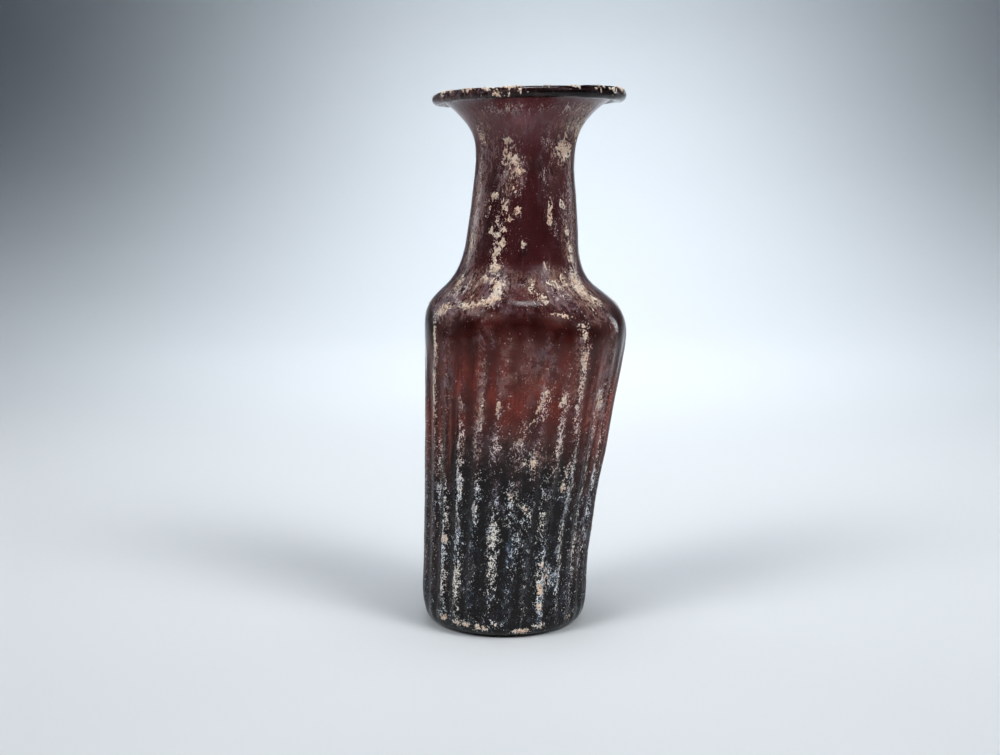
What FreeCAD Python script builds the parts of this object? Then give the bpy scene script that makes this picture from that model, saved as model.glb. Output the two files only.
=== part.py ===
"""An antique ribbed bottle of purple glass, in millimetres, +Z up.

A gather of glass was ribbed in a dip mould, blown out, and necked down with a wide flaring mouth.
A second gather was trailed round the mouth as a thick coil, lapped where it ends, and the iron that
held the base left a ring of glass under it.  The body leans, so its foot stands off the neck's axis.
Burial left a dark residue inside the lower body and patches of pale crust on the outside.

The origin is the centre of the bounding box, on the plane that the bottle stands on.
"""
import FreeCAD
import Part

import math
import os

import Sketcher

doc = FreeCAD.newDocument("antique_bottle")
V = FreeCAD.Vector
Y_AXIS = V(0, 1, 0)
Z_AXIS = V(0, 0, 1)

# ---------------------------------------------------------------- driving dimensions
sheet = doc.addObject("Spreadsheet::Sheet", "dims")
next_row = 1


def cell(alias, value, note):
    """Writes one driving dimension, with its alias, on the sheet's next row."""
    global next_row
    sheet.set(f"A{next_row}", alias.replace("_", " "))
    sheet.set(f"B{next_row}", str(value))
    sheet.setAlias(f"B{next_row}", alias)
    sheet.set(f"C{next_row}", note)
    next_row += 1


def station_cells(stations, note):
    """Writes the height, radius and lean of each station, under its name."""
    for name, height, radius, lean in stations:
        cell(f"{name}_height", height, note)
        cell(f"{name}_radius", radius, note)
        cell(f"{name}_lean", lean, "where that section's centre stands along X")


# Stations up the outside of the wall: name, height, radius over the rib crests, and lean.
OUTER_STATIONS = [
    ("foot", 0.0, 16.2, -4.75),
    ("heel_low", 1.2, 18.9, -4.75),
    ("heel_top", 4.2, 20.25, -4.7),
    ("low", 12.0, 20.55, -4.5),
    ("calf", 22.0, 20.9, -4.0),
    ("waist", 34.0, 21.65, -2.9),
    ("middle", 47.0, 22.85, -1.65),
    ("chest", 60.0, 23.9, -0.55),
    ("brow", 69.0, 24.65, 0.25),
    ("widest", 73.5, 24.8, 0.35),
    ("shoulder", 77.6, 23.9, -0.1),
    ("slope", 81.4, 21.1, -0.7),
    ("root", 85.0, 17.1, -0.95),
    ("nape", 89.5, 14.7, -0.7),
    ("throat", 97.0, 13.5, -0.3),
    ("neck", 108.0, 12.45, 0.1),
    ("narrow", 117.0, 12.1, 0.35),
    ("collar", 121.0, 13.2, 0.4),
    ("flare", 124.4, 15.6, 0.5),
    ("brim", 126.9, 18.3, 0.75),
    ("lip", 128.5, 21.5, 1.1),
    ("edge", 129.3, 22.0, 1.1),
]
station_cells(OUTER_STATIONS, "outside of the wall")
cell("mouth_slope", 1.28, "degrees by which the mouth rises towards +X")
cell("slope_start", 115.0, "height where the wall starts to follow that slope")

cell("rib_count", 30, "ribs from the dip mould")
cell("rib_depth", 0.8, "crest to flute where the ribs are full")
cell("rib_crowding", 0.127, "how much closer the ribs stand on the +X side")
cell("rib_start", 1.5, "height where the ribs begin on the heel")
cell("rib_full_low", 8.0, "height where the ribs are full")
cell("rib_full_high", 52.0, "height where the ribs start to fade")
cell("rib_end", 76.0, "height where the ribs have faded out")

# Stations up the leaning cavity below the straight bore.
CAVITY_STATIONS = [
    ("floor", 4.4, 14.6, -4.7),
    ("corner", 5.6, 16.9, -4.7),
    ("well", 9.0, 18.0, -4.6),
    ("bowl", 24.0, 18.6, -3.8),
    ("barrel", 46.0, 20.5, -1.75),
    ("dome", 68.0, 22.4, 0.15),
    ("arch", 75.0, 22.0, 0.15),
    ("vault", 80.0, 19.2, -0.4),
    ("gullet", 84.0, 15.2, -0.8),
    ("funnel", 89.5, 12.7, -0.5),
    ("channel", 98.0, 11.2, 0.1),
    ("choke", 104.5, 10.6, 0.3),
    ("taper", 106.5, 10.2, 0.3),
]
station_cells(CAVITY_STATIONS, "inside of the wall")
# The residue reaches no higher than this many of them.
RESIDUE_STATIONS = 7

cell("bore_radius", 10.4, "straight bore of the neck, which a stopper fits")
cell("bore_lean", 0.3, "the bore's axis along X")
cell("bore_low", 105.0, "lower end of the straight bore")
cell("bore_high", 118.0, "upper end of the straight bore")

# Stations up the inside of the mouth, above the straight bore.
MOUTH_STATIONS = [
    ("start", 115.5, 10.15, 0.3),
    ("swell", 120.4, 11.4, 0.35),
    ("bell", 124.0, 13.6, 0.45),
    ("trumpet", 126.9, 16.7, 0.7),
    ("spread", 129.0, 20.6, 1.1),
    ("over", 130.2, 24.0, 1.1),
]
station_cells(MOUTH_STATIONS, "inside of the mouth")

cell("kick", 2.0, "rise of the pushed-in base")
cell("kick_radius", 13.4, "radius of the pushed-in base")
cell("scar_outer", 5.4, "outside of the ring of glass left by the iron")
cell("scar_inner", 2.7, "inside of that ring")
cell("scar_low", 0.7, "lowest point of the ring")
cell("scar_high", 3.0, "top of the ring before it is fitted to the base")
cell("scar_round", 0.4, "rounding of the ring's broken edge")

cell("coil_height", 128.95, "height of the coil's centreline")
cell("coil_lean", 1.1, "the coil's centre along X")
cell("coil_major", 22.0, "radius of the coil's centreline")
cell("coil_minor", 1.3, "half the coil's thickness")
cell("lap_minor", 1.55, "half the thickness where the coil's end laps its start")
cell("lap_start", -62, "angle where the lap starts, from +X")
cell("lap_sweep", 78, "angle that the lap covers")

cell("residue_top", 39.0, "height of the residue's edge at the bottle's centre")
cell("residue_tilt", 5.0, "slope of the residue's edge, in degrees")
cell("residue_wall", 0.7, "thickness of the residue on the wall")
cell("residue_bed", 3.0, "thickness of the residue on the floor")

cell("crust_thickness", 0.35, "thickness of the burial crust")
doc.recompute()


def dim(alias):
    """The value of one driving dimension."""
    return float(sheet.get(alias))


def bind(thing, **expressions):
    """Binds an object's properties to the sheet; a double underscore stands for a dot."""
    for name, expression in expressions.items():
        thing.setExpression(name.replace("__", "."), expression)


# ---------------------------------------------------------------- outside of the wall
# A rib's poles, as shares of its depth: from the narrow crest round through the wide flute.
RIB_POLES = (0.0, -0.85, -1.3, -0.85)
ROUND_POLES = 24
ROWS = 46
COIL_SECTIONS = 72
COIL_POLES = 12
DEGREE = 3
# Degrees over which the coil swells into its lap and out of it.
LAP_BLEND = 12.0
# Rows that a coat keeps beyond the patches cut from it.
COAT_MARGIN = 6
SEAM_TOLERANCE = 1e-4


def smooth_step(value, start, end):
    """0 before start, 1 after end, and a smooth rise between them."""
    share = min(1.0, max(0.0, (value - start) / (end - start)))
    return share * share * (3 - 2 * share)


def rib_strength(height):
    """How much of the full rib depth the wall has at this height."""
    grown = smooth_step(height, dim("rib_start"), dim("rib_full_low"))
    faded = smooth_step(height, dim("rib_full_high"), dim("rib_end"))
    return grown * (1 - faded)


def sloped_ring(lean, height, reaches):
    """Poles round one section, with the mouth's slope near the top; reaches are (angle, radius)."""
    share = smooth_step(height, dim("slope_start"), dim("brim_height"))
    slope = share * math.tan(math.radians(dim("mouth_slope")))
    ring = []
    for angle, radius in reaches:
        across = radius * math.cos(angle)
        ring.append(V(lean + across, radius * math.sin(angle), height + slope * across))
    return ring


def ribbed_ring(radius, lean, height):
    """One section of the outside."""
    around = int(dim("rib_count")) * len(RIB_POLES)
    depth = dim("rib_depth") * rib_strength(height)
    reaches = []
    for k in range(around):
        turn = 2 * math.pi * k / around
        angle = turn - dim("rib_crowding") * math.sin(turn)
        reaches.append((angle, radius + depth * RIB_POLES[k % len(RIB_POLES)]))
    return sloped_ring(lean, height, reaches)


def round_ring(radius, lean, height):
    """One section of the inside: poles stand outside the circle that they draw."""
    turn = 2 * math.pi / ROUND_POLES
    stand_off = 3 / (2 + math.cos(turn))
    return sloped_ring(lean, height, [(k * turn, radius * stand_off) for k in range(ROUND_POLES)])


def sections(stations, growth):
    """Sections up a smooth profile through stations, moved sideways off it by growth."""
    curve = Part.BSplineCurve()
    curve.interpolate([V(radius, lean, height) for radius, lean, height in stations])
    first, last = curve.FirstParameter, curve.LastParameter
    found = []
    for row in range(ROWS):
        at = first + (last - first) * row / (ROWS - 1)
        radius, lean, height = curve.value(at)
        tangent = curve.tangent(at)[0]
        steepness = math.hypot(tangent.x, tangent.z)
        radius += growth * tangent.z / steepness
        found.append((radius, lean, height - growth * tangent.x / steepness))
    return found


def solid_through(rings):
    """A closed solid whose side is one smooth surface over rings of poles."""
    spans = len(rings) - DEGREE
    around = len(rings[0])
    surface = Part.BSplineSurface()
    surface.buildFromPolesMultsKnots(
        rings,
        [DEGREE + 1] + [1] * (spans - 1) + [DEGREE + 1],
        [1] * (around + 1),
        list(range(spans + 1)),
        list(range(around + 1)),
        False,
        True,
        DEGREE,
        DEGREE,
    )
    side = surface.toShape()
    ends = [Part.Face(Part.Wire(edge)) for edge in side.Edges if edge.isClosed()]
    shell = Part.Shell([side, *ends])
    shell.sewShape()
    shell.fix(SEAM_TOLERANCE, SEAM_TOLERANCE, 10 * SEAM_TOLERANCE)
    solid = Part.makeSolid(shell)
    if solid.Volume < 0:
        solid.reverse()
    return solid


def blown_shape(name, stations, ring):
    """A document object whose shape is blown through stations, each section drawn by ring."""
    feature = doc.addObject("Part::Feature", name)
    feature.Shape = solid_through([ring(*section) for section in sections(stations, 0.0)])
    return feature


def station_sizes(stations):
    """The sheet's radius, lean and height of each station."""
    return [tuple(dim(f"{name}_{size}") for size in ("radius", "lean", "height")) for name, *_ in stations]


def joined(kind, name, shapes):
    """The fusion (MultiFuse) or the common part (MultiCommon) of several shapes."""
    result = doc.addObject(f"Part::{kind}", name)
    result.Shapes = shapes
    return result


def cut_away(name, base, tools):
    """The base with each tool cut from it in turn."""
    for k, tool in enumerate(tools, 1):
        last = k == len(tools)
        result = doc.addObject("Part::Cut", name if last else f"{name}_cut_{k}")
        result.Base = base
        result.Tool = tool
        base = result
    return base


def make_bore():
    """The straight bore of the neck, which a stopper fits."""
    bore = doc.addObject("Part::Cylinder", "bore")
    bind(
        bore,
        Radius="dims.bore_radius",
        Height="dims.bore_high - dims.bore_low",
        Placement__Base__x="dims.bore_lean",
        Placement__Base__z="dims.bore_low",
    )
    return bore


def make_kick():
    """A ball that presses the base in."""
    ball = doc.addObject("Part::Sphere", "kick_ball")
    bind(
        ball,
        Radius="(dims.kick_radius ^ 2 + dims.kick ^ 2) / (2 * dims.kick)",
        Placement__Base__x="dims.foot_lean",
        Placement__Base__z="dims.kick - (dims.kick_radius ^ 2 + dims.kick ^ 2) / (2 * dims.kick)",
    )
    return ball


# ---------------------------------------------------------------- the pieces
def coil_section(angle, growth):
    """The poles of one section of the coil, thicker where its end laps its start."""
    start, finish = dim("lap_start"), dim("lap_start") + dim("lap_sweep")
    lapped = smooth_step(angle, start, start + LAP_BLEND)
    lapped *= 1 - smooth_step(angle, finish - LAP_BLEND, finish)
    minor = growth + dim("coil_minor") + (dim("lap_minor") - dim("coil_minor")) * lapped
    turn = 2 * math.pi / COIL_POLES
    minor *= 3 / (2 + math.cos(turn))
    slope = math.tan(math.radians(dim("mouth_slope")))
    around = math.radians(angle)
    poles = []
    for k in range(COIL_POLES):
        reach = dim("coil_major") + minor * math.cos(k * turn)
        across = reach * math.cos(around)
        height = dim("coil_height") + minor * math.sin(k * turn) + slope * across
        poles.append(V(dim("coil_lean") + across, reach * math.sin(around), height))
    return poles


def tube_solid(growth):
    """The coil as a closed tube, grown all round by growth."""
    step = 360 / COIL_SECTIONS
    rings = [coil_section(-180 + k * step, growth) for k in range(COIL_SECTIONS)]
    surface = Part.BSplineSurface()
    surface.buildFromPolesMultsKnots(
        rings,
        [1] * (COIL_SECTIONS + 1),
        [1] * (COIL_POLES + 1),
        list(range(COIL_SECTIONS + 1)),
        list(range(COIL_POLES + 1)),
        True,
        True,
        DEGREE,
        DEGREE,
    )
    solid = Part.makeSolid(Part.Shell([surface.toShape()]))
    if solid.Volume < 0:
        solid.reverse()
    return solid


def make_coil():
    """The trail of glass round the mouth."""
    coil = doc.addObject("Part::Feature", "rim_coil")
    coil.Shape = tube_solid(0.0)
    return coil


def make_scar(ball):
    """The broken ring of glass that the iron left, shaped to the base above it."""
    body = doc.addObject("PartDesign::Body", "scar_ring")
    sketch = body.newObject("Sketcher::SketchObject", "scar_section")
    plane = next(f for f in body.Origin.OriginFeatures if f.Role == "XZ_Plane")
    sketch.AttachmentSupport = [(plane, "")]
    sketch.MapMode = "FlatFace"
    corners = [V(3, 1, 0), V(5, 1, 0), V(5, 3, 0), V(3, 3, 0)]
    for k, corner in enumerate(corners):
        sketch.addGeometry(Part.LineSegment(corner, corners[(k + 1) % 4]), False)
    for k in range(4):
        sketch.addConstraint(Sketcher.Constraint("Coincident", k, 2, (k + 1) % 4, 1))
        sketch.addConstraint(Sketcher.Constraint("Horizontal" if k % 2 == 0 else "Vertical", k))
    # Each size is the distance from the origin, along one axis, to an end of one edge.
    sizes = (
        ("scar_inner", "X", 0, 1),
        ("scar_outer", "X", 1, 1),
        ("scar_low", "Y", 0, 1),
        ("scar_high", "Y", 2, 1),
    )
    for alias, axis, edge, end in sizes:
        index = sketch.addConstraint(Sketcher.Constraint(f"Distance{axis}", -1, 1, edge, end, dim(alias)))
        sketch.setExpression(f"Constraints[{index}]", f"dims.{alias}")
    ring = body.newObject("PartDesign::Revolution", "scar_turned")
    ring.Profile = sketch
    ring.ReferenceAxis = (sketch, ["V_Axis"])
    ring.Angle = 360
    doc.recompute()
    low_edges = [
        f"Edge{k}" for k, edge in enumerate(ring.Shape.Edges, 1)
        if edge.BoundBox.ZMax < dim("scar_low") + SEAM_TOLERANCE
    ]
    rounded = body.newObject("PartDesign::Fillet", "scar_rounded")
    rounded.Base = (ring, low_edges)
    bind(rounded, Radius="dims.scar_round")
    bind(body, Placement__Base__x="dims.foot_lean")
    return joined("MultiCommon", "pontil_scar", [body, ball])


def make_residue(cavity):
    """The dried residue that lines the lower body, up to a sloping edge."""
    wall, bed = dim("residue_wall"), dim("residue_bed")
    lined = station_sizes(CAVITY_STATIONS[:RESIDUE_STATIONS])
    above = [(radius - wall, lean, height + bed) for radius, lean, height in lined]
    hollow = blown_shape("residue_hollow", above, round_ring)
    block = doc.addObject("Part::Box", "residue_reach")
    block.Placement.Rotation = FreeCAD.Rotation(Y_AXIS, dim("residue_tilt"))
    bind(
        block,
        Length="4 * dims.widest_radius",
        Width="4 * dims.widest_radius",
        Height="2 * dims.residue_top",
        Placement__Base__x="-2 * dims.widest_radius",
        Placement__Base__y="-2 * dims.widest_radius",
        Placement__Base__z="-dims.residue_top + 2 * dims.widest_radius * tan(dims.residue_tilt)",
    )
    filled = joined("MultiCommon", "residue_filled", [cavity, block])
    return cut_away("residue_lining", filled, [hollow])


# Patches of crust: angle from +X (-90 is the front), height, half width, half height, and turn.
CRUST_PATCHES = {
    "crust_neck": [
        (-42, 116.6, 2.6, 2.5, 0),
        (-103, 111.5, 2.0, 5.0, -12),
        (-114, 94.5, 1.5, 7.0, 4),
        (35, 104.0, 2.4, 6.0, 10),
        (128, 109.0, 2.0, 4.5, -15),
    ],
    "crust_shoulder": [
        (-112, 82.4, 4.2, 1.8, -12),
        (-137, 79.5, 3.4, 1.4, 10),
        (-40, 84.0, 1.8, 4.4, -20),
        (58, 82.0, 4.0, 1.8, 12),
        (140, 81.0, 3.4, 1.6, -10),
    ],
    "crust_body": [
        (-65, 57.4, 1.8, 1.5, 0),
        (-36, 57.0, 1.2, 2.2, 0),
        (-152, 64.0, 1.0, 5.0, 0),
        (-56, 70.0, 1.1, 4.6, 0),
        (-82, 43.4, 1.4, 1.0, 0),
        (-63, 13.0, 1.4, 3.4, -10),
        (96, 55.0, 1.6, 2.2, 0),
        (46, 36.0, 1.4, 2.0, 0),
        (122, 60.0, 1.1, 5.0, 0),
        (134, 14.0, 1.3, 2.8, 0),
    ],
    "crust_base": [
        (-121, 3.5, 2.4, 1.0, 6),
        (-100, 3.2, 2.0, 0.9, 0),
        (-70, 2.8, 2.4, 0.9, -5),
        (-40, 4.0, 1.8, 1.0, 0),
        (60, 4.0, 2.4, 1.0, 8),
        (160, 3.9, 2.2, 1.0, -8),
    ],
}
# Patches on the coil: angle from +X, and half of the angle that each covers.
RIM_PATCHES = [(-113, 9), (-99, 4), (-44, 8), (-26, 7), (24, 14), (118, 12), (165, 9)]


def patch_reach(lean, angle, height, half_width, half_height, turn):
    """An oval post that runs out from the axis, to pick one patch out of a skin."""
    oval = Part.Ellipse(V(), max(half_width, half_height), min(half_width, half_height))
    face = Part.Face(Part.Wire(oval.toShape()))
    if half_height > half_width:
        face.rotate(V(), Z_AXIS, 90)
    face.rotate(V(), Z_AXIS, turn)
    post = face.extrude(V(0, 0, 2 * dim("widest_radius")))
    post.rotate(V(), V(1, 0, 0), 90)
    post.rotate(V(), Z_AXIS, 90 + angle)
    post.translate(V(lean, 0, height))
    return post


def lean_at(height):
    """How far the wall's centre stands off the origin at this height."""
    stations = [(dim(f"{name}_height"), dim(f"{name}_lean")) for name, *_ in OUTER_STATIONS]
    for (low, low_lean), (high, high_lean) in zip(stations, stations[1:]):
        if height <= high:
            return low_lean + (high_lean - low_lean) * (height - low) / (high - low)
    return stations[-1][1]


def crust_feature(name, patches):
    """One region's patches as a document object."""
    crust = doc.addObject("Part::Feature", name)
    crust.Shape = Part.makeCompound(patches)
    return crust


def coat_between(low, high):
    """A thin coat over the outside of the wall, from a little below low to a little above high."""
    layers = []
    for growth in (dim("crust_thickness"), 0.0):
        heights = sections(station_sizes(OUTER_STATIONS), growth)
        below = [k for k, section in enumerate(heights) if section[2] < low]
        above = [k for k, section in enumerate(heights) if section[2] > high]
        near = heights[max(0, below[-1] - COAT_MARGIN):above[0] + COAT_MARGIN]
        layers.append(solid_through([ribbed_ring(*section) for section in near]))
    return layers[0].cut(layers[1])


def make_crust(name):
    """One region's patches of crust, picked out of a thin coat over the wall."""
    heights = [height for _, height, *_ in CRUST_PATCHES[name]]
    coat = coat_between(min(heights), max(heights))
    patches = []
    for angle, height, half_width, half_height, turn in CRUST_PATCHES[name]:
        post = patch_reach(lean_at(height), angle, height, half_width, half_height, turn)
        patches.append(coat.common(post).Solids[0])
    return crust_feature(name, patches)


def make_rim_crust(coil):
    """Patches of crust on the outer half of the coil, each a length of a thin coat over it."""
    coat = tube_solid(dim("crust_thickness")).cut(coil.Shape)
    slope = math.tan(math.radians(dim("mouth_slope")))
    equator = dim("coil_major") + dim("coil_minor")
    patches = []
    for angle, half_angle in RIM_PATCHES:
        around = math.radians(angle)
        outward = V(math.cos(around), math.sin(around), slope * math.cos(around))
        along = V(-math.sin(around), math.cos(around), 0)
        half_length = math.radians(half_angle) * equator
        start = V(dim("coil_lean"), 0, dim("coil_height")) + outward * equator - along * half_length
        post = Part.makeCylinder(dim("coil_minor"), 2 * half_length, start, along)
        patches.extend(coat.common(post).Solids)
    return crust_feature("crust_rim", patches)


skin = blown_shape("outer_skin", station_sizes(OUTER_STATIONS), ribbed_ring)
cavity = blown_shape("cavity", station_sizes(CAVITY_STATIONS), round_ring)
mouth = blown_shape("mouth", station_sizes(MOUTH_STATIONS), round_ring)
bore = make_bore()
ball = make_kick()
coil = make_coil()
scar = make_scar(ball)
residue = make_residue(cavity)
wall = cut_away("bottle_body", skin, [cavity, bore, mouth, ball, coil])
doc.recompute()
pieces = [wall, coil, scar, residue]
for region in CRUST_PATCHES:
    pieces.append(make_crust(region))
pieces.append(make_rim_crust(coil))
doc.recompute()

failed = [thing.Name for thing in doc.Objects if {"Invalid", "Error"} & set(thing.State)]
for piece in pieces:
    piece.Label = piece.Name
    if piece.Shape.isNull() or not piece.Shape.isValid():
        failed.append(piece.Name)
if failed:
    raise SystemExit(f"failed: {failed}")

os.makedirs("parts", exist_ok=True)
for piece in pieces:
    piece.Shape.exportStep(f"parts/{piece.Label}.step")
    box = piece.Shape.optimalBoundingBox(True, False)
    print(
        f"{piece.Label}: {len(piece.Shape.Solids)} solid(s), {piece.Shape.Volume:.1f} mm3, "
        f"x {box.XMin:.2f} to {box.XMax:.2f}, y {box.YMin:.2f} to {box.YMax:.2f}, "
        f"z {box.ZMin:.2f} to {box.ZMax:.2f}"
    )
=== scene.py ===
"""An antique ribbed bottle of purple glass, weathered by burial, on a pale studio sweep.

Sizes in the tables are millimetres in the part's own frame; everything sent to Blender is in metres.
"""

import math
import random

import bpy
import numpy as np
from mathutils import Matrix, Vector, noise


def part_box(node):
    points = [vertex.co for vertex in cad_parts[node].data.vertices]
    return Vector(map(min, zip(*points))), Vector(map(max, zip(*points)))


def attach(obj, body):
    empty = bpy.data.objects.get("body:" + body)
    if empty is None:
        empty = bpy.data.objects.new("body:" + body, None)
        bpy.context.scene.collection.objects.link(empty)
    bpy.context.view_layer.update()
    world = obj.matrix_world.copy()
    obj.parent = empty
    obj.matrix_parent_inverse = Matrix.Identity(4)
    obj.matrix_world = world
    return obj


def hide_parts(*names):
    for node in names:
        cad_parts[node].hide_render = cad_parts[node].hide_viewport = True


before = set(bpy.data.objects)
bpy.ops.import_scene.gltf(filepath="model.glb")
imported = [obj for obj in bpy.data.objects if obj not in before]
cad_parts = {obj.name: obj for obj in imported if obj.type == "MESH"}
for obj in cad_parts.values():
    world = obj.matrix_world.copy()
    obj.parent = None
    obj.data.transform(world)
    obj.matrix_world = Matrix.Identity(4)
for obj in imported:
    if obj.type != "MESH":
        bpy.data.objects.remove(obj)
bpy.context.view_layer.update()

MM = 0.001

# ---------------------------------------------------------------- the wall's profile
# Height, radius over the rib crests, and how far the section's centre stands off the origin along X.
OUTSIDE = [
    (0.0, 16.2, -4.75),
    (1.2, 18.9, -4.75),
    (4.2, 20.25, -4.7),
    (12.0, 20.55, -4.5),
    (22.0, 20.9, -4.0),
    (34.0, 21.65, -2.9),
    (47.0, 22.85, -1.65),
    (60.0, 23.9, -0.55),
    (69.0, 24.65, 0.25),
    (73.5, 24.8, 0.35),
    (77.6, 23.9, -0.1),
    (81.4, 21.1, -0.7),
    (85.0, 17.1, -0.95),
    (89.5, 14.7, -0.7),
    (97.0, 13.5, -0.3),
    (108.0, 12.45, 0.1),
    (117.0, 12.1, 0.35),
    (121.0, 13.2, 0.4),
    (124.4, 15.6, 0.5),
    (126.9, 18.3, 0.75),
    (128.5, 21.0, 1.1),
]
INSIDE = [
    (129.15, 21.1, 1.1),
    (126.9, 16.7, 0.7),
    (124.0, 13.6, 0.45),
    (120.4, 11.4, 0.35),
    (117.0, 10.4, 0.3),
    (105.4, 10.4, 0.3),
    (98.0, 11.2, 0.1),
    (89.5, 12.7, -0.5),
    (84.0, 15.2, -0.8),
    (80.0, 19.2, -0.4),
    (75.0, 22.0, 0.15),
    (68.0, 22.4, 0.15),
    (46.0, 20.5, -1.75),
    (24.0, 18.6, -3.8),
    (9.0, 18.0, -4.6),
    (5.6, 16.9, -4.7),
    (4.4, 14.6, -4.7),
]
MOUTH_SLOPE = math.tan(math.radians(1.28))
SLOPE_FROM, SLOPE_FULL = 115.0, 126.9

# The ribs: how many, how deep the flutes between them are, how much they crowd towards one side, how far
# below its top each one fades, and the heights between which they grow in at the foot.
RIBS = 30
RIB_DEPTH = 0.8
RIB_CROWDING = 0.127
RIB_FADE = 20.0
RIB_FOOT, RIB_GROWN = 1.0, 8.0
# The straight cylinder that patterns are laid out on, so that they follow the leaning ribs.
STRAIGHT_RADIUS = 21.0
PROFILE_STEPS = 400
COLUMNS_PER_RIB = 12
KICK_ROWS, OUTER_ROWS, INNER_ROWS = 8, 176, 84

# The pushed-in base, which is part of a ball, and the ring that the iron left on it.
KICK, KICK_RADIUS = 2.0, 13.4
KICK_BALL = (KICK_RADIUS ** 2 + KICK ** 2) / (2 * KICK)
SCAR_WIDTH = 2.7
# The coil round the mouth. Its end laps over its start between two angles.
COIL_HEIGHT, COIL_LEAN, COIL_MAJOR = 128.95, 1.1, 22.0
COIL_MINOR, LAP_MINOR = 1.3, 1.55
LAP_FROM, LAP_TO = -62.0, 16.0
LAP_RISE, LAP_FALL = 9.0, 14.0

# The residue: its mean top, its thickness on the wall and on the floor, and its gap from the glass.
RESIDUE_TOP = 40.0
RESIDUE_WALL, RESIDUE_BED = 0.7, 3.0
RESIDUE_GAP = 0.04

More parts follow.
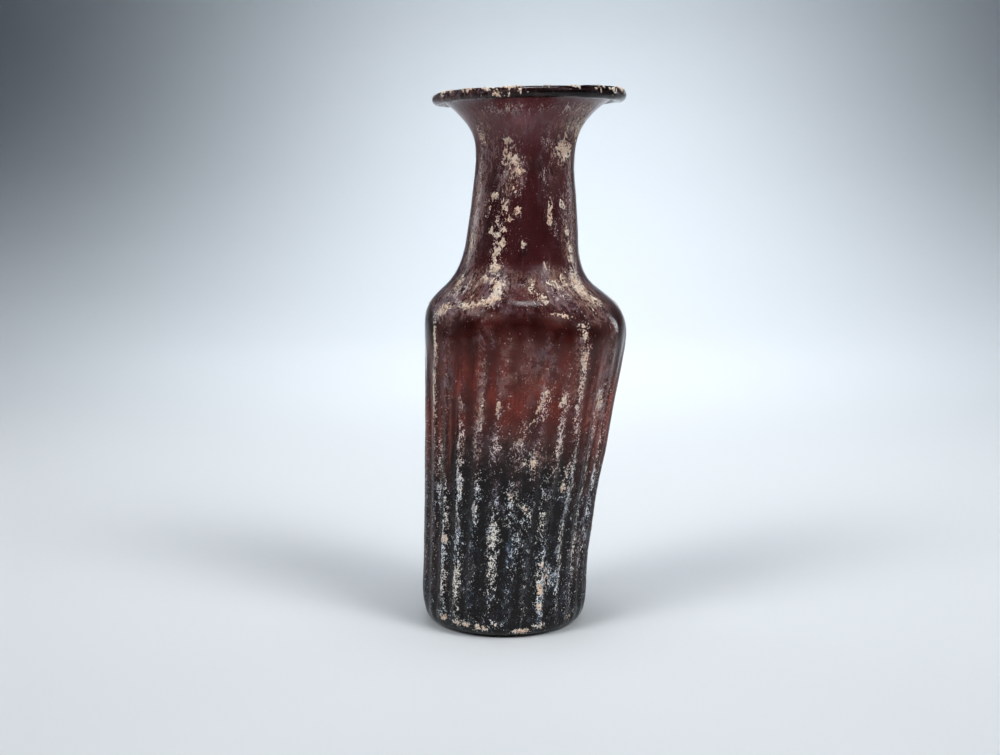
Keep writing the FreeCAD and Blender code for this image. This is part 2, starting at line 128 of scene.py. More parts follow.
# ---------------------------------------------------------------- where the crust sits
# Deposits: angle from +X (-90 is the front), height, half width and half height in mm, lean in degrees,
# and strength.
DEPOSITS = [
    # upper neck and flare
    (-42, 116.4, 2.6, 2.3, 10, 1.15),
    (-45, 120.8, 0.9, 2.2, 0, 0.85),
    (-26, 122.6, 1.6, 4.2, 25, 0.75),
    (-112, 117.0, 1.5, 2.6, -15, 0.55),
    (-108, 114.2, 2.0, 1.5, 0, 0.85),
    (-99, 112.0, 1.5, 2.6, 10, 0.8),
    (-99, 107.8, 1.2, 2.2, -10, 0.7),
    (-146, 119.6, 1.2, 2.4, 0, 0.7),
    # lower neck
    (-123, 105.6, 0.9, 1.6, 0, 0.85),
    (-130, 102.6, 1.1, 2.0, 0, 0.6),
    (-110, 103.0, 1.0, 1.7, 0, 0.75),
    (-98, 101.6, 0.9, 1.4, -25, 0.8),
    (-106, 100.0, 0.8, 1.2, -25, 0.7),
    (-118, 99.6, 0.7, 1.4, 0, 0.8),
    (-111, 97.8, 1.1, 0.8, -20, 0.9),
    (-118, 96.6, 1.3, 0.9, -15, 0.9),
    (-124, 97.3, 0.8, 1.0, 0, 0.8),
    (-111, 94.2, 0.8, 1.8, -10, 0.85),
    (-116, 91.6, 1.2, 2.6, 5, 1.0),
    (-114, 88.4, 1.2, 1.6, 10, 0.95),
    (-90, 94.1, 0.7, 1.1, 0, 0.9),
    (-63, 100.4, 0.8, 1.8, 0, 0.8),
    (-62, 103.6, 0.7, 1.4, 0, 0.75),
    (-45, 103.0, 1.1, 2.2, 0, 0.7),
    (-41, 97.0, 0.8, 2.2, 0, 0.6),
    (-36, 92.4, 1.0, 2.8, 0, 0.75),
    (-67, 89.2, 0.7, 1.0, 0, 0.8),
    (-152, 94.5, 0.8, 4.2, 0, 0.75),
    # shoulder
    (-117, 86.0, 2.2, 0.7, -18, 0.95),
    (-107, 84.4, 1.2, 1.5, 0, 1.2),
    (-107, 82.2, 1.3, 1.2, 25, 1.15),
    (-114, 80.8, 2.0, 0.8, 12, 1.05),
    (-127, 80.0, 2.8, 0.8, 4, 0.9),
    (-146, 78.6, 2.6, 1.3, 20, 0.85),
    (-148, 84.6, 0.9, 2.6, 10, 0.7),
    (-82, 84.6, 0.8, 1.4, 0, 0.8),
    (-77, 81.8, 1.5, 1.1, 10, 0.75),
    (-62, 84.8, 1.8, 1.3, 0, 0.6),
    (-52, 85.8, 0.9, 1.5, 0, 0.85),
    (-40, 84.4, 1.6, 3.6, -18, 1.1),
    (-37, 80.8, 1.5, 1.4, -20, 0.9),
    (-66, 77.8, 3.6, 0.5, -14, 0.65),
    # ribbed body
    (-151, 71.0, 0.8, 5.0, 0, 0.9),
    (-153, 58.0, 0.8, 6.5, 0, 0.8),
    (-57, 73.6, 0.9, 2.6, 0, 0.8),
    (-56, 67.2, 0.9, 2.4, 12, 0.95),
    (-36, 57.2, 1.0, 2.0, 8, 1.2),
    (-65, 57.4, 1.9, 1.6, 0, 1.0),
    (-76, 60.0, 0.9, 1.0, 0, 0.85),
    (-80, 56.8, 0.7, 2.2, -25, 0.85),
    (-83, 53.0, 1.2, 1.8, 0, 0.75),
    (-103, 56.8, 0.7, 1.5, 0, 0.7),
    (-80, 43.3, 0.8, 1.1, 0, 1.05),
    (-85, 43.7, 0.6, 0.9, 0, 1.0),
    (-82, 32.2, 0.8, 1.8, 28, 1.05),
    (-92, 35.8, 0.8, 1.3, 0, 0.95),
    (-138, 23.2, 0.9, 1.3, 0, 1.0),
    (-57, 38.0, 0.8, 3.0, 0, 0.75),
    (-66, 18.4, 0.7, 0.9, 0, 0.95),
    (-61, 15.0, 0.9, 2.2, 10, 1.1),
    (-66, 12.0, 0.9, 1.3, 0, 1.0),
    (-66, 8.0, 0.7, 1.4, 10, 1.05),
    # heel
    (-137, 4.0, 1.5, 0.8, 0, 0.9),
    (-121, 3.4, 2.2, 0.7, 0, 0.85),
    (-107, 2.9, 1.6, 0.7, 0, 0.95),
    (-98, 3.8, 1.6, 0.7, 0, 0.8),
    (-78, 2.0, 2.0, 0.6, 0, 0.9),
    (-65, 3.0, 1.6, 0.8, 10, 0.85),
    (-40, 4.0, 1.4, 0.8, 0, 0.6),
    # the far side
    (20, 118.0, 1.8, 3.4, 0, 0.85),
    (70, 112.0, 2.0, 2.4, 0, 0.8),
    (128, 108.0, 1.6, 4.4, -10, 0.85),
    (165, 101.0, 1.2, 3.0, 0, 0.75),
    (40, 97.0, 1.0, 4.6, 5, 0.8),
    (88, 91.0, 1.4, 2.6, 0, 0.85),
    (12, 88.0, 1.2, 3.4, 0, 0.75),
    (58, 82.6, 3.2, 1.2, 10, 1.0),
    (102, 84.0, 1.6, 1.8, 0, 0.8),
    (140, 81.0, 3.0, 1.0, -10, 0.95),
    (172, 79.0, 1.8, 1.4, 0, 0.85),
    (5, 79.0, 1.5, 2.0, 0, 0.8),
    (30, 68.0, 0.9, 5.0, 0, 0.8),
    (66, 63.0, 0.9, 4.0, 0, 0.85),
    (96, 55.0, 1.6, 2.0, 0, 0.95),
    (122, 60.0, 0.8, 6.0, 0, 0.75),
    (150, 50.0, 0.9, 5.0, 0, 0.8),
    (10, 44.0, 0.8, 5.0, 0, 0.75),
    (46, 36.0, 1.4, 1.8, 0, 1.0),
    (80, 28.0, 0.9, 4.4, 0, 0.8),
    (112, 34.0, 0.9, 3.4, 0, 0.8),
    (168, 26.0, 0.9, 4.8, 0, 0.75),
    (134, 14.0, 1.2, 2.6, 0, 0.95),
    (24, 16.0, 0.9, 3.6, 0, 0.8),
    (0, 24.0, 0.8, 3.0, 0, 0.7),
    (60, 4.0, 2.2, 0.8, 0, 0.85),
    (108, 3.4, 1.8, 0.8, 0, 0.8),
    (160, 3.8, 2.0, 0.9, 0, 0.85),
]
# Streaks and patches of silvery weathering, in the same terms.
STREAKS = [
    (-127, 44.0, 1.2, 16.0, 0, 0.95),
    (-113, 54.0, 0.9, 9.0, 0, 0.6),
    (-103, 55.0, 0.9, 5.0, 0, 0.55),
    (-152, 60.0, 1.0, 15.0, 0, 1.0),
    (-146, 40.0, 1.1, 12.0, 0, 0.95),
    (-138, 22.0, 1.1, 14.0, 0, 0.85),
    (-126, 16.0, 1.4, 11.0, 0, 0.8),
    (-113, 34.0, 1.1, 8.0, 0, 0.7),
    (-100, 22.0, 1.6, 12.0, 0, 0.8),
    (-92, 34.0, 1.3, 6.0, 0, 0.75),
    (-84, 24.0, 1.4, 9.0, 0, 0.7),
    (-80, 44.0, 1.4, 4.0, 0, 0.7),
    (-70, 33.0, 1.2, 11.0, 0, 0.7),
    (-64, 50.0, 1.2, 9.0, 0, 0.95),
    (-66, 14.0, 1.5, 9.0, 0, 0.8),
    (-54, 60.0, 1.2, 16.0, 0, 0.9),
    (-51, 40.0, 1.1, 14.0, 0, 1.0),
    (-52, 18.0, 1.1, 12.0, 0, 0.8),
    (-38, 46.0, 1.0, 15.0, 0, 1.0),
    (-38, 20.0, 1.0, 14.0, 0, 0.9),
    (-25, 40.0, 1.0, 22.0, 0, 0.95),
    (-76, 57.0, 2.0, 5.0, -25, 0.7),
    (-104, 46.0, 1.6, 5.0, 0, 0.65),
    (-90, 48.5, 2.2, 4.0, 20, 0.6),
    (-116, 50.0, 1.3, 5.0, 0, 0.6),
    (-97, 58.0, 1.1, 5.0, 0, 0.5),
    (-60, 84.0, 4.0, 3.0, 0, 0.6),
    (-112, 98.0, 3.0, 10.0, 0, 0.6),
    (-105, 112.0, 4.0, 8.0, 0, 0.55),
    (-150, 100.0, 1.6, 14.0, 0, 0.7),
    (-40, 98.0, 2.0, 9.0, 0, 0.65),
    (-140, 84.0, 4.0, 3.0, 15, 0.7),
    (-36, 122.0, 2.5, 5.0, 20, 0.75),
    (-140, 121.0, 2.0, 4.0, -15, 0.55),
    (-104, 125.4, 8.0, 1.5, 0, 0.75),
    (-78, 125.6, 5.0, 1.2, 0, 0.6),
    (-52, 125.2, 5.0, 1.6, 0, 0.7),
    (-66, 118.0, 1.6, 3.0, 20, 0.6),
    (-70, 110.0, 1.0, 2.4, 0, 0.6),
    (-58, 99.0, 1.4, 5.0, 0, 0.7),
    (0, 60.0, 1.2, 14.0, 0, 0.7),
    (14, 30.0, 1.2, 14.0, 0, 0.8),
    (30, 66.0, 1.2, 9.0, 0, 0.7),
    (42, 42.0, 1.2, 12.0, 0, 0.8),
    (56, 18.0, 1.4, 11.0, 0, 0.8),
    (68, 58.0, 1.2, 12.0, 0, 0.75),
    (80, 30.0, 1.3, 12.0, 0, 0.8),
    (94, 52.0, 1.6, 8.0, 0, 0.75),
    (104, 20.0, 1.4, 12.0, 0, 0.8),
    (120, 58.0, 1.1, 13.0, 0, 0.8),
    (130, 26.0, 1.3, 13.0, 0, 0.8),
    (146, 50.0, 1.1, 12.0, 0, 0.75),
    (160, 20.0, 1.3, 12.0, 0, 0.8),
    (172, 60.0, 1.1, 12.0, 0, 0.75),
    (60, 104.0, 3.0, 9.0, 0, 0.6),
    (130, 98.0, 3.0, 9.0, 0, 0.6),
    (170, 110.0, 2.4, 9.0, 0, 0.6),
    (20, 96.0, 2.4, 8.0, 0, 0.6),
]
# Stretches where a pale haze dulls the glass, in the same terms.
HAZES = [
    (-132, 83.0, 13.0, 5.0, 8, 1.1),
    (-50, 83.0, 12.0, 5.0, -8, 1.1),
    (-152, 100.0, 4.0, 17.0, 0, 1.0),
    (-33, 98.0, 3.5, 14.0, 0, 0.6),
    (-140, 116.0, 4.0, 8.0, -10, 0.6),
    (-60, 112.0, 4.0, 9.0, 0, 0.4),
    (-100, 123.0, 12.0, 3.5, 0, 0.4),
    (-45, 123.0, 7.0, 4.0, 10, 0.6),
    (-108, 111.0, 3.5, 6.0, 0, 0.6),
    (-140, 66.0, 3.0, 9.0, 0, 0.5),
    (-114, 60.0, 1.8, 12.0, 0, 0.45),
    (-102, 64.0, 1.8, 9.0, 0, 0.4),
    (-82, 66.0, 5.0, 7.0, 0, 0.45),
    (-60, 66.0, 2.0, 12.0, 0, 0.5),
    (-36, 62.0, 2.2, 14.0, 0, 0.6),
    (-95, 72.0, 9.0, 2.5, 0, 0.35),
    (-142, 78.5, 6.0, 3.0, 0, 0.75),
    (-90, 79.5, 11.0, 2.0, 0, 0.3),
    (-42, 78.5, 6.0, 3.0, 0, 0.75),
    (-92, 47.0, 13.0, 5.0, 0, 0.35),
    (20, 84.0, 10.0, 4.0, 0, 0.8),
    (90, 84.0, 12.0, 4.0, 0, 0.9),
    (155, 84.0, 8.0, 4.0, 0, 0.8),
    (60, 106.0, 5.0, 14.0, 0, 0.7),
    (130, 112.0, 6.0, 12.0, 0, 0.7),
    (0, 110.0, 4.0, 14.0, 0, 0.6),
    (30, 62.0, 4.0, 10.0, 0, 0.6),
    (75, 66.0, 5.0, 8.0, 0, 0.6),
    (125, 60.0, 4.0, 12.0, 0, 0.7),
    (170, 62.0, 4.0, 10.0, 0, 0.6),
]
# A mark is strongest at its middle and fades to nothing a little outside its ellipse.
MARK_MIDDLE, MARK_FADE, MARK_REACH = 1.15, 0.62, 1.5
# Specks reach this many times further than the crust they surround.
HALO = 1.8
# The haze inside the mouth, and on the coil: least on its right, and most towards this angle.
MOUTH_HAZE = 0.3
COIL_HAZE_ANGLE, COIL_HAZE_LEAST, COIL_HAZE_MOST = -155.0, 0.04, 0.65
DEGREES_PER_RADIAN = 180 / math.pi
# The marks that reach each height, kept so that they are looked up once.
MARKS_NEAR = {}
# The crust is a grid of small cells, this wide. It is about this deep where it holds this firmly, and it
# is sunk a little into the glass.
CRUST_CELL = 0.16
CRUST_DEPTH = 0.26
CRUST_FULL = 0.35
CRUST_SUNK = 0.02
# Each region of crust: its node, and the heights that it covers.
CRUST_REGIONS = [
    ("crust_base", 0.9, 6.0),
    ("crust_body", 6.0, 75.0),
    ("crust_shoulder", 75.0, 87.5),
    ("crust_neck", 87.5, 126.5),
]
# Deposits on the rim's coil: angle, half of the angle covered, place round the coil's section, strength.
RIM_DEPOSITS = [
    (-128, 7, 60, 0.75),
    (-113, 8, 55, 0.85),
    (-101, 8, 62, 0.9),
    (-93, 6, 20, 0.75),
    (-106, 6, -20, 0.7),
    (-80, 8, 78, 0.7),
    (-62, 5, 70, 0.65),
    (-46, 7, 40, 0.75),
    (-34, 6, 20, 0.8),
    (-20, 8, 45, 0.8),
    (-150, 8, 60, 0.6),
    (24, 14, 30, 0.8),
    (70, 10, 10, 0.85),
    (118, 12, 40, 0.9),
    (165, 9, 0, 0.8),
]


def smooth_step(value, start, end):
    """0 before start, 1 after end, and a smooth rise between them."""
    share = min(1.0, max(0.0, (value - start) / (end - start)))
    return share * share * (3 - 2 * share)


def smooth_profile(stations):
    """A function from 0..1 to (height, radius, lean): a natural cubic through the stations."""
    points = np.array(stations)
    chord = np.linalg.norm(np.diff(points, axis=0), axis=1)
    knots = np.concatenate([[0.0], np.cumsum(chord)])
    count = len(points)
    matrix = np.eye(count)
    rise = np.zeros_like(points)
    for k in range(1, count - 1):
        before, after = chord[k - 1], chord[k]
        matrix[k, k - 1:k + 2] = before, 2 * (before + after), after
        rise[k] = 6 * ((points[k + 1] - points[k]) / after - (points[k] - points[k - 1]) / before)
    bend = np.linalg.solve(matrix, rise)

    def at(share):
        distance = share * knots[-1]
        k = min(int(np.searchsorted(knots, distance, side="right")) - 1, count - 2)
        width = knots[k + 1] - knots[k]
        low, high = knots[k + 1] - distance, distance - knots[k]
        return (
            bend[k] * low ** 3 / (6 * width) + bend[k + 1] * high ** 3 / (6 * width)
            + (points[k] / width - bend[k] * width / 6) * low
            + (points[k + 1] / width - bend[k + 1] * width / 6) * high
        )

    return at


outside_at = smooth_profile(OUTSIDE)
inside_at = smooth_profile(INSIDE)
rib_rng = random.Random(11)
RIB_JITTER = [rib_rng.uniform(-1.1, 1.1) for _ in range(RIBS)]
RIB_STRENGTH = [rib_rng.uniform(0.72, 1.2) for _ in range(RIBS)]
RIB_TOP = [rib_rng.uniform(71.0, 80.0) for _ in range(RIBS)]


def between_ribs(turn, values):
    """A value shared between the two ribs beside a place."""
    k = int(math.floor(turn))
    share = turn - k
    return (1 - share) * values[k % RIBS] + share * values[(k + 1) % RIBS]


def off_crest(turn):
    """0 on the nearer crest, 1 in the middle of the flute beside it."""
    share = turn - int(math.floor(turn))
    return min(share, 1 - share) * 2


def rib_angle(turn, height):
    """The angle of a place round the wall, counted in ribs, with each rib's own wander."""
    wander = between_ribs(turn, RIB_JITTER)
    even = 2 * math.pi * turn / RIBS
    wander += 0.9 * noise.noise(Vector((math.cos(even) * 3, math.sin(even) * 3, height * 0.03)))
    return even - RIB_CROWDING * math.sin(even) + math.radians(wander)


def rib_drop(turn, height):
    """How far the wall lies below the rib crests here: narrow round crests and wide flutes."""
    top = between_ribs(turn, RIB_TOP)
    grown = smooth_step(height, RIB_FOOT, RIB_GROWN)
    faded = smooth_step(height, top - RIB_FADE, top)
    flute = math.sin(off_crest(turn) * math.pi / 2) ** 1.35
    return RIB_DEPTH * between_ribs(turn, RIB_STRENGTH) * grown * (1 - faded) * flute


def sloped(lean, angle, radius, height):
    """A point of the wall, in metres, with the mouth's slope near the top."""
    across = radius * math.cos(angle)
    rise = MOUTH_SLOPE * across * smooth_step(height, SLOPE_FROM, SLOPE_FULL)
    return Vector((lean + across, radius * math.sin(angle), height + rise)) * MM


def ripple(point, size, depth):
    """Slow unevenness of hand-blown glass."""
    return depth * noise.noise(point / (size * MM))


def kick_height(radius):
    """The height of the pushed-in base, part of a ball, at a radius."""
    return KICK - KICK_BALL + math.sqrt(KICK_BALL ** 2 - radius ** 2)


def outside_point(turn, share):
    """A point on the outside of the wall."""
    height, radius, lean = outside_at(share)
    angle = rib_angle(turn, height)
    radius -= rib_drop(turn, height)
    point = sloped(lean, angle, radius, height)
    held = smooth_step(height, 0.0, 3.0) * (1 - smooth_step(height, 124.0, 128.0))
    radius += held * (ripple(point, 16, 0.22) + ripple(point, 5, 0.07) + ripple(point, 1.7, 0.03))
    return sloped(lean, angle, radius, height)


OUTSIDE_HEIGHTS = [outside_at(k / PROFILE_STEPS)[0] for k in range(PROFILE_STEPS + 1)]
OUTSIDE_RADII = [outside_at(k / PROFILE_STEPS)[1] for k in range(PROFILE_STEPS + 1)]


# ---------------------------------------------------------------- mesh helpers
def new_object(name, verts, faces):
    """A smooth-shaded mesh object from points in metres."""
    mesh = bpy.data.meshes.new(name)
    mesh.from_pydata(verts, [], faces)
    mesh.validate()
    mesh.polygons.foreach_set("use_smooth", [True] * len(mesh.polygons))
    obj = bpy.data.objects.new(name, mesh)
    bpy.context.scene.collection.objects.link(obj)
    return obj


def closed_grid(name, rows, start_point, end_point):
    """Rows of points, each closed on itself, capped at both ends by fans to a point."""
    columns = len(rows[0])
    verts = [point for row in rows for point in row]
    faces = []
    for r in range(len(rows) - 1):
        for c in range(columns):
            d = (c + 1) % columns
            faces.append((r * columns + c, r * columns + d, (r + 1) * columns + d, (r + 1) * columns + c))
    first, last = len(verts), len(verts) + 1
    verts += [start_point, end_point]
    top = (len(rows) - 1) * columns
    for c in range(columns):
        d = (c + 1) % columns
        faces.append((first, d, c))
        faces.append((last, top + c, top + d))
    return new_object(name, verts, faces)


def closed_ring(name, verts, columns):
    """A ring of closed sections, from points in the order of the sections."""
    sections = len(verts) // columns
    faces = []
    for k in range(sections):
        n = (k + 1) % sections
        for c in range(columns):
            d = (c + 1) % columns
            faces.append((k * columns + c, n * columns + c, n * columns + d, k * columns + d))
    return new_object(name, verts, faces)


def store(obj, name, values):
    """A number or a vector for each point of a mesh, which its material can read."""
    if isinstance(values[0], Vector):
        attribute = obj.data.attributes.new(name, "FLOAT_VECTOR", "POINT")
        attribute.data.foreach_set("vector", [number for value in values for number in value])
    else:
        attribute = obj.data.attributes.new(name, "FLOAT", "POINT")
        attribute.data.foreach_set("value", values)


def unrolled(turn, height):
    """A place on the wall as if it were a straight cylinder, so that a pattern follows the ribs."""
    even = 2 * math.pi * turn / RIBS
    return Vector((STRAIGHT_RADIUS * math.cos(even), STRAIGHT_RADIUS * math.sin(even), height)) * MM


def crest_share(turn, height):
    """1 on the crest of a rib, 0 in a flute and where there are no ribs."""
    top = between_ribs(turn, RIB_TOP)
    ribbed = smooth_step(height, RIB_FOOT, RIB_GROWN) * (1 - smooth_step(height, top - 9.0, top + 2.0))
    return ribbed * (1 - smooth_step(off_crest(turn), 0.15, 0.75))


# ---------------------------------------------------------------- the pieces
def make_wall():
    """The blown wall: pushed-in base, ribbed outside, lip, mouth, bore and cavity in one closed mesh."""
    columns = RIBS * COLUMNS_PER_RIB
    turns = [c / COLUMNS_PER_RIB for c in range(columns)]
    foot_lean = OUTSIDE[0][2]
    rows, crest, bloom, haze, straight = [], [], [], [], []

    def add(height, points, worn=False):
        rows.append(points)
        straight.extend(unrolled(t, height) for t in turns)
        crest.extend(crest_share(t, height) if worn else 0.0 for t in turns)
        inside = MOUTH_HAZE * smooth_step(height, 108.0, 124.0)
        for t in turns:
            streaked, hazed = weathering_at(t, height) if worn else (0.0, inside)
            bloom.append(streaked)
            haze.append(hazed)

    for k in range(1, KICK_ROWS + 1):
        radius = KICK_RADIUS * k / KICK_ROWS
        height = kick_height(radius)
        add(height, [sloped(foot_lean, rib_angle(t, 0), radius, height) for t in turns])
    for k in range(OUTER_ROWS):
        share = k / (OUTER_ROWS - 1)
        add(outside_at(share)[0], [outside_point(t, share) for t in turns], True)
    for k in range(INNER_ROWS):
        height, radius, lean = inside_at(k / (INNER_ROWS - 1))
        add(height, [sloped(lean, rib_angle(t, height), radius, height) for t in turns])
    floor_height, _, floor_lean = INSIDE[-1]
    middle_low = Vector((foot_lean, 0, KICK)) * MM
    middle_high = Vector((floor_lean, 0, floor_height)) * MM
    wall = closed_grid("glass_wall", rows, middle_low, middle_high)
    store(wall, "crest", crest + [0.0, 0.0])
    store(wall, "bloom", bloom + [0.0, 0.0])
    store(wall, "haze", haze + [0.0, 0.0])
    store(wall, "straight", straight + [unrolled(0, 0), unrolled(0, 0)])
    return wall


def coil_radius(angle):
    """Half the coil's thickness: uneven, and thicker where its end laps its start."""
    degrees = math.degrees(angle)
    lapped = smooth_step(degrees, LAP_FROM, LAP_FROM + LAP_RISE)
    lapped *= 1 - smooth_step(degrees, LAP_TO - LAP_FALL, LAP_TO)
    around = Vector((math.cos(angle), math.sin(angle), 0.3))
    return COIL_MINOR + (LAP_MINOR - COIL_MINOR) * lapped + 0.09 * noise.noise(around * 3.1)


def coil_outward(angle, turn):
    """The way out of the coil's round section."""
    return Vector((math.cos(turn) * math.cos(angle), math.cos(turn) * math.sin(angle), math.sin(turn)))


def coil_point(angle, turn):
    """A point on the rim's coil: angle round the mouth, and turn round the coil's own section."""
    minor = coil_radius(angle)
    around = Vector((math.cos(angle), math.sin(angle), 0))
    drift = 0.10 * noise.noise(around * 2.3 + Vector((0, 0, 9)))
    reach = COIL_MAJOR + minor * math.cos(turn) * 0.98
    across = reach * math.cos(angle)
    height = COIL_HEIGHT + drift + minor * math.sin(turn) + MOUTH_SLOPE * across
    point = Vector((COIL_LEAN + across, reach * math.sin(angle), height)) * MM
    bump = ripple(point, 2.2, 0.05) + ripple(point, 0.9, 0.025)
    return point + coil_outward(angle, turn) * bump * MM


def make_coil():
    """The trail of dark glass round the mouth."""
    columns, sections = 28, 480
    verts, haze = [], []
    for k in range(sections):
        angle = -math.pi + 2 * math.pi * k / sections
        toward = max(0.0, math.cos(angle - COIL_HAZE_ANGLE / DEGREES_PER_RADIAN))
        for c in range(columns):
            verts.append(coil_point(angle, 2 * math.pi * c / columns))
            haze.append(COIL_HAZE_LEAST + (COIL_HAZE_MOST - COIL_HAZE_LEAST) * toward ** 2)
    coil = closed_ring("rim_trail", verts, columns)
    store(coil, "haze", haze)
    return coil


def share_at(height):
    """The share of the outside profile at which it reaches a height."""
    return float(np.interp(height, OUTSIDE_HEIGHTS, np.linspace(0, 1, len(OUTSIDE_HEIGHTS))))


CAVITY = [inside_at(k / PROFILE_STEPS) for k in range(PROFILE_STEPS, -1, -1)]
CAVITY_HEIGHTS = [section[0] for section in CAVITY]


def cavity_section(height):
    """Radius and lean of the hollow at a height."""
    radius = float(np.interp(height, CAVITY_HEIGHTS, [section[1] for section in CAVITY]))
    lean = float(np.interp(height, CAVITY_HEIGHTS, [section[2] for section in CAVITY]))
    return radius, lean


def cavity_point(angle, height, section, inset):
    """A point inside the hollow, in from its wall, for a section's radius and lean."""
    radius, lean = section
    reach = radius - inset
    return Vector((lean + reach * math.cos(angle), reach * math.sin(angle), height)) * MM


def residue_edge(angle):
    """The height where the residue ends on the wall: a ragged line with runs and dips."""
    around = Vector((math.cos(angle), math.sin(angle), 0))
    tilt = -3.2 * math.cos(angle)
    dip = -5.0 * math.exp(-((math.degrees(angle) + 82) / 16) ** 2)
    ragged = 4.5 * noise.noise(around * 2.2) + 2.4 * noise.noise(around * 7)
    ragged += 1.3 * noise.noise(around * 19)
    return RESIDUE_TOP + tilt + dip + ragged


def make_residue():
    """The dark dried residue that lines the lower body."""
    columns, steps = 240, 60
    floor = INSIDE[-1][0]
    angles = [2 * math.pi * c / columns for c in range(columns)]
    edges = [residue_edge(angle) for angle in angles]
    rows = []
    for k in range(steps):
        row = []
        for angle, edge in zip(angles, edges):
            height = floor + 0.05 + (edge - floor) * k / (steps - 1)
            row.append(cavity_point(angle, height, cavity_section(height), RESIDUE_GAP))
        rows.append(row)
    for k in range(steps):
        row = []
        for angle, edge in zip(angles, edges):
            share = 1 - k / (steps - 1)
            height = floor + RESIDUE_BED + (edge - 0.15 - floor - RESIDUE_BED) * share
            section = cavity_section(max(height, floor + 2.2))
            around = Vector((math.cos(angle), math.sin(angle), 0))
            lumps = 1 + 0.5 * noise.noise(around * 6 + Vector((0, 0, height * 0.25)))
            inset = 0.08 + RESIDUE_WALL * lumps * smooth_step(1 - share, 0.0, 0.2)
            inset += 2.2 * smooth_step(0.12 - share, 0.0, 0.12)
            row.append(cavity_point(angle, height, section, inset))
        rows.append(row)
    lean = INSIDE[-1][2]
    low = Vector((lean, 0, floor + 0.05)) * MM
    high = Vector((lean, 0, floor + RESIDUE_BED - 0.4)) * MM
    return closed_grid("dried_residue", rows, low, high)


def make_scar():
    """The broken ring of glass that the iron left under the base."""
    low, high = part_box("pontil_scar")
    centre = (Vector(low) + Vector(high)) / 2
    outer = (high[0] - low[0]) / 2 / MM
    half = SCAR_WIDTH / 2
    columns, sections = 20, 160
    verts = []
    for k in range(sections):
        angle = 2 * math.pi * k / sections
        around = Vector((math.cos(angle), math.sin(angle), 0))
        chip = 0.55 * max(0.0, noise.noise(around * 2.4 + Vector((4, 0, 0))) + 0.1)
        for c in range(columns):
            turn = 2 * math.pi * c / columns
            reach = outer - half + half * math.cos(turn) * (1 - 0.06 * noise.noise(around * 5))
            roof = kick_height(reach)
            bottom = low[2] / MM + chip + 0.12 * noise.noise(around * 9 + Vector((0, 0, turn)))
            height = (roof + bottom) / 2 + (roof - bottom) / 2 * math.sin(turn)
            height = min(height, roof - 0.01)
            x = centre.x + reach * MM * math.cos(angle)
            y = centre.y + reach * MM * math.sin(angle)
            verts.append(Vector((x, y, height * MM)))
    return closed_ring("iron_scar", verts, columns)


# ---------------------------------------------------------------- crust
def fading(u, v):
    """How strong a mark is at a place counted in half widths and half heights from its middle."""
    return MARK_MIDDLE - MARK_FADE * (u * u + v * v)


def strongest_near(marks, angle, height, radius, swell=1.0):
    """The strongest of the marks at a place, each fading from its middle outwards."""
    strongest = 0.0
    for at, level, half_width, half_height, lean, strength in marks:
        rise = height - level
        reach = (half_height + half_width) * MARK_REACH * swell
        across = ((angle - at + 180) % 360 - 180) * radius / DEGREES_PER_RADIAN
        if abs(rise) > reach or abs(across) > reach:
            continue
        turn = lean / DEGREES_PER_RADIAN
        u = (across * math.cos(turn) + rise * math.sin(turn)) / (half_width * swell)
        v = (rise * math.cos(turn) - across * math.sin(turn)) / (half_height * swell)
        strongest = max(strongest, strength * fading(u, v))
    return strongest


def marks_at(marks, height, swell=1.0):
    """The marks that reach a height."""
    return [mark for mark in marks if abs(height - mark[1]) < (mark[3] + mark[2]) * MARK_REACH * swell]


def weathering_at(turn, height):
    """How thick the silvery specks lie on the wall, and how thick the haze."""
    key = round(height, 4)
    if key not in MARKS_NEAR:
        lists = marks_at(DEPOSITS, height, HALO), marks_at(STREAKS, height), marks_at(HAZES, height)
        MARKS_NEAR[key] = lists
    round_crust, streaks, hazes = MARKS_NEAR[key]
    angle = math.degrees(rib_angle(turn, height))
    radius = float(np.interp(height, OUTSIDE_HEIGHTS, OUTSIDE_RADII))
    halo = 0.75 * strongest_near(round_crust, angle, height, radius, HALO)
    bloom = max(0.0, halo, strongest_near(streaks, angle, height, radius))
    return bloom, min(1.0, strongest_near(hazes, angle, height, radius))


def crust_left(strength, place, fine, worn):
    """How firmly the crust holds at a place: there is crust where this is above 0."""
    grain = noise.fractal(place / 1.4, 0.7, 2.1, 3)
    grit = noise.fractal(place / fine, 0.8, 2.1, 2)
    return 0.62 * strength + 0.45 * grain + 0.62 * grit - worn


def crusted(field, rows, columns):
    """The cells with crust on at least three of their four corners."""
    return [
        (r, c) for r in rows for c in range(columns)
        if sum((r + dr, (c + dc) % columns) in field for dr in (0, 1) for dc in (0, 1)) >= 3
    ]


def flake_mesh(name, cells, top_point, low_point, grid_width):
    """A closed skin over the active cells of a grid; a cell is (row, column)."""
    verts, faces, index = [], [], {}

    def vertex(row, column, side):
        key = (row, column % grid_width, side)
        if key not in index:
            index[key] = len(verts)
            verts.append(top_point(*key[:2]) if side else low_point(*key[:2]))
        return index[key]

    active = set(cells)
    for row, column in cells:
        corners = [(row, column), (row, column + 1), (row + 1, column + 1), (row + 1, column)]
        faces.append([vertex(r, c, 1) for r, c in corners])
        faces.append([vertex(r, c, 0) for r, c in reversed(corners)])
        beside = [(row - 1, column), (row, column + 1), (row + 1, column), (row, column - 1)]
        for k, (r, c) in enumerate(beside):
            if (r, c % grid_width) not in active:
                a, b = corners[k], corners[(k + 1) % 4]
                faces.append([vertex(*b, 1), vertex(*a, 1), vertex(*a, 0), vertex(*b, 0)])
    return new_object(name, verts, faces)


